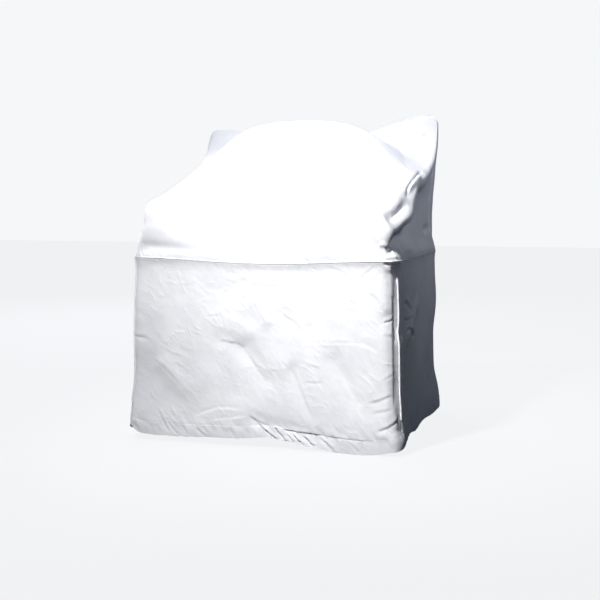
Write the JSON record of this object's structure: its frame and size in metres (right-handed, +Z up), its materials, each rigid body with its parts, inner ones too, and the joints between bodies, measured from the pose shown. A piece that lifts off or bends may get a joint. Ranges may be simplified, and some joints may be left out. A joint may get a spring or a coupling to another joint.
{
  "type": "boat centre console cover",
  "caption": "Fitted cloth cover with a straight skirt to a ledge seam and a sloping hood over a rounded screen, open below.",
  "frame": {"origin": "the place just under the top of the arch where the hidden console's screen holds the cover up", "axes": "+Z up, +Y from the front of the cover to its back, +X to the right seen from the front"},
  "size_m": [0.97, 0.7881, 1.1371],
  "materials": {
    "hood_cloth": "white coated polyester canvas, matt with a faint sheen",
    "skirt_cloth": "white coated polyester canvas, matt with a faint sheen",
    "welt": "white cloth folded into a raised seam"
  },
  "bodies": {
    "root": {"crown": "hood_cloth", "hood_left": "hood_cloth", "hood_right": "hood_cloth", "hood_back": "hood_cloth", "skirt_front": "skirt_cloth", "skirt_right": "skirt_cloth", "skirt_back": "skirt_cloth", "skirt_left": "skirt_cloth", "ledge_welt": "welt", "corner_welt_right": "welt", "corner_welt_left": "welt"}
  },
  "joints": []
}
